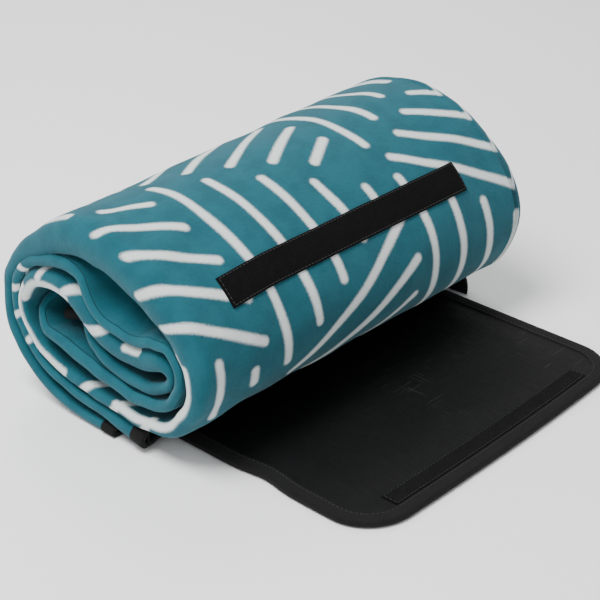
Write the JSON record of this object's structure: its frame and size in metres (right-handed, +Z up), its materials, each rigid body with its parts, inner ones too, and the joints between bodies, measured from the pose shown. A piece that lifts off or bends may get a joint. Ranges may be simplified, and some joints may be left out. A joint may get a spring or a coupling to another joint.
{
  "type": "camp blanket",
  "caption": "Quilted camp blanket with a fleece face and a waterproof back, folded and rolled up, with a padded closing flap and a carry handle.",
  "frame": {"origin": "middle of the footprint, on the surface the roll rests on", "axes": "+X along the roll, +Y from the open flap back through the roll, +Z up"},
  "size_m": [0.3816, 0.3616, 0.1826],
  "materials": {
    "fleece": "soft brushed pile with a printed pattern of pale bars",
    "wadding": "loose matte fibres",
    "backing": "coated plain weave, slight sheen",
    "binding": "matte twill tape",
    "loop_pile": "matte brushed loops",
    "cover": "plain woven polyester",
    "stiffener": "closed-cell foam sheet",
    "lining": "coated cloth embossed like linen",
    "hook_pile": "stiff nylon hooks, slight sheen",
    "webbing": "woven polypropylene webbing"
  },
  "bodies": {
    "root": {"fleece_face": "fleece", "wadding": "wadding", "waterproof_backing": "backing", "hem_binding_outer_pair": "binding", "hem_binding_inner_pair": "binding", "end_binding_outer_pair": "binding", "end_binding_inner_pair": "binding", "core_end_binding": "binding", "loop_strip": "loop_pile", "flap_root_cover": "cover", "flap_root_stiffener": "stiffener", "flap_root_lining": "lining"},
    "flap_1": {"flap_cover_1": "cover", "flap_stiffener_1": "stiffener", "flap_lining_1": "lining", "flap_binding_left_1": "binding", "flap_binding_right_1": "binding"},
    "flap_2": {"flap_cover_2": "cover", "flap_stiffener_2": "stiffener", "flap_lining_2": "lining", "flap_binding_left_2": "binding", "flap_binding_right_2": "binding"},
    "flap_3": {"flap_cover_3": "cover", "flap_stiffener_3": "stiffener", "flap_lining_3": "lining", "flap_binding_left_3": "binding", "flap_binding_right_3": "binding", "handle_end_left": "webbing", "handle_end_right": "webbing"},
    "flap_4": {"flap_cover_4": "cover", "flap_stiffener_4": "stiffener", "flap_lining_4": "lining", "flap_binding_left_4": "binding", "flap_binding_right_4": "binding"},
    "flap_5": {"flap_cover_5": "cover", "flap_stiffener_5": "stiffener", "flap_lining_5": "lining", "flap_binding_front": "binding", "hook_strip": "hook_pile"},
    "handle": {"handle_grip": "webbing"}
  },
  "joints": [
    {"name": "flap_close", "type": "hinge", "parent": "root", "child": "flap_1", "pos_m": [0, 0.01968, 0.00652], "axis": [-1, 0, 0], "range_deg": [0, 32]},
    {"name": "flap_curl_2", "type": "hinge", "parent": "flap_1", "child": "flap_2", "pos_m": [0, -0.03232, 0.00652], "axis": [-1, 0, 0], "range_deg": [0, 11.52]},
    {"name": "flap_curl_3", "type": "hinge", "parent": "flap_2", "child": "flap_3", "pos_m": [0, -0.06032, 0.00652], "axis": [-1, 0, 0], "range_deg": [0, 29.02]},
    {"name": "flap_curl_4", "type": "hinge", "parent": "flap_3", "child": "flap_4", "pos_m": [0, -0.10032, 0.00652], "axis": [-1, 0, 0], "range_deg": [0, 32.02]},
    {"name": "flap_curl_5", "type": "hinge", "parent": "flap_4", "child": "flap_5", "pos_m": [0, -0.13633, 0.00652], "axis": [-1, 0, 0], "range_deg": [0, 23.02]},
    {"name": "handle_spring_out", "type": "slide", "parent": "flap_3", "child": "handle", "axis": [0, 0, -1], "range_m": [0, 0.02202]}
  ],
  "couplings": [
    {"joint": "flap_curl_2", "follows": "flap_close", "ratio": 0.35938},
    {"joint": "flap_curl_3", "follows": "flap_close", "ratio": 0.90625},
    {"joint": "flap_curl_4", "follows": "flap_close", "ratio": 1},
    {"joint": "flap_curl_5", "follows": "flap_close", "ratio": 0.71875},
    {"joint": "handle_spring_out", "follows": "flap_close", "m_per_rad": 0.039391}
  ]
}
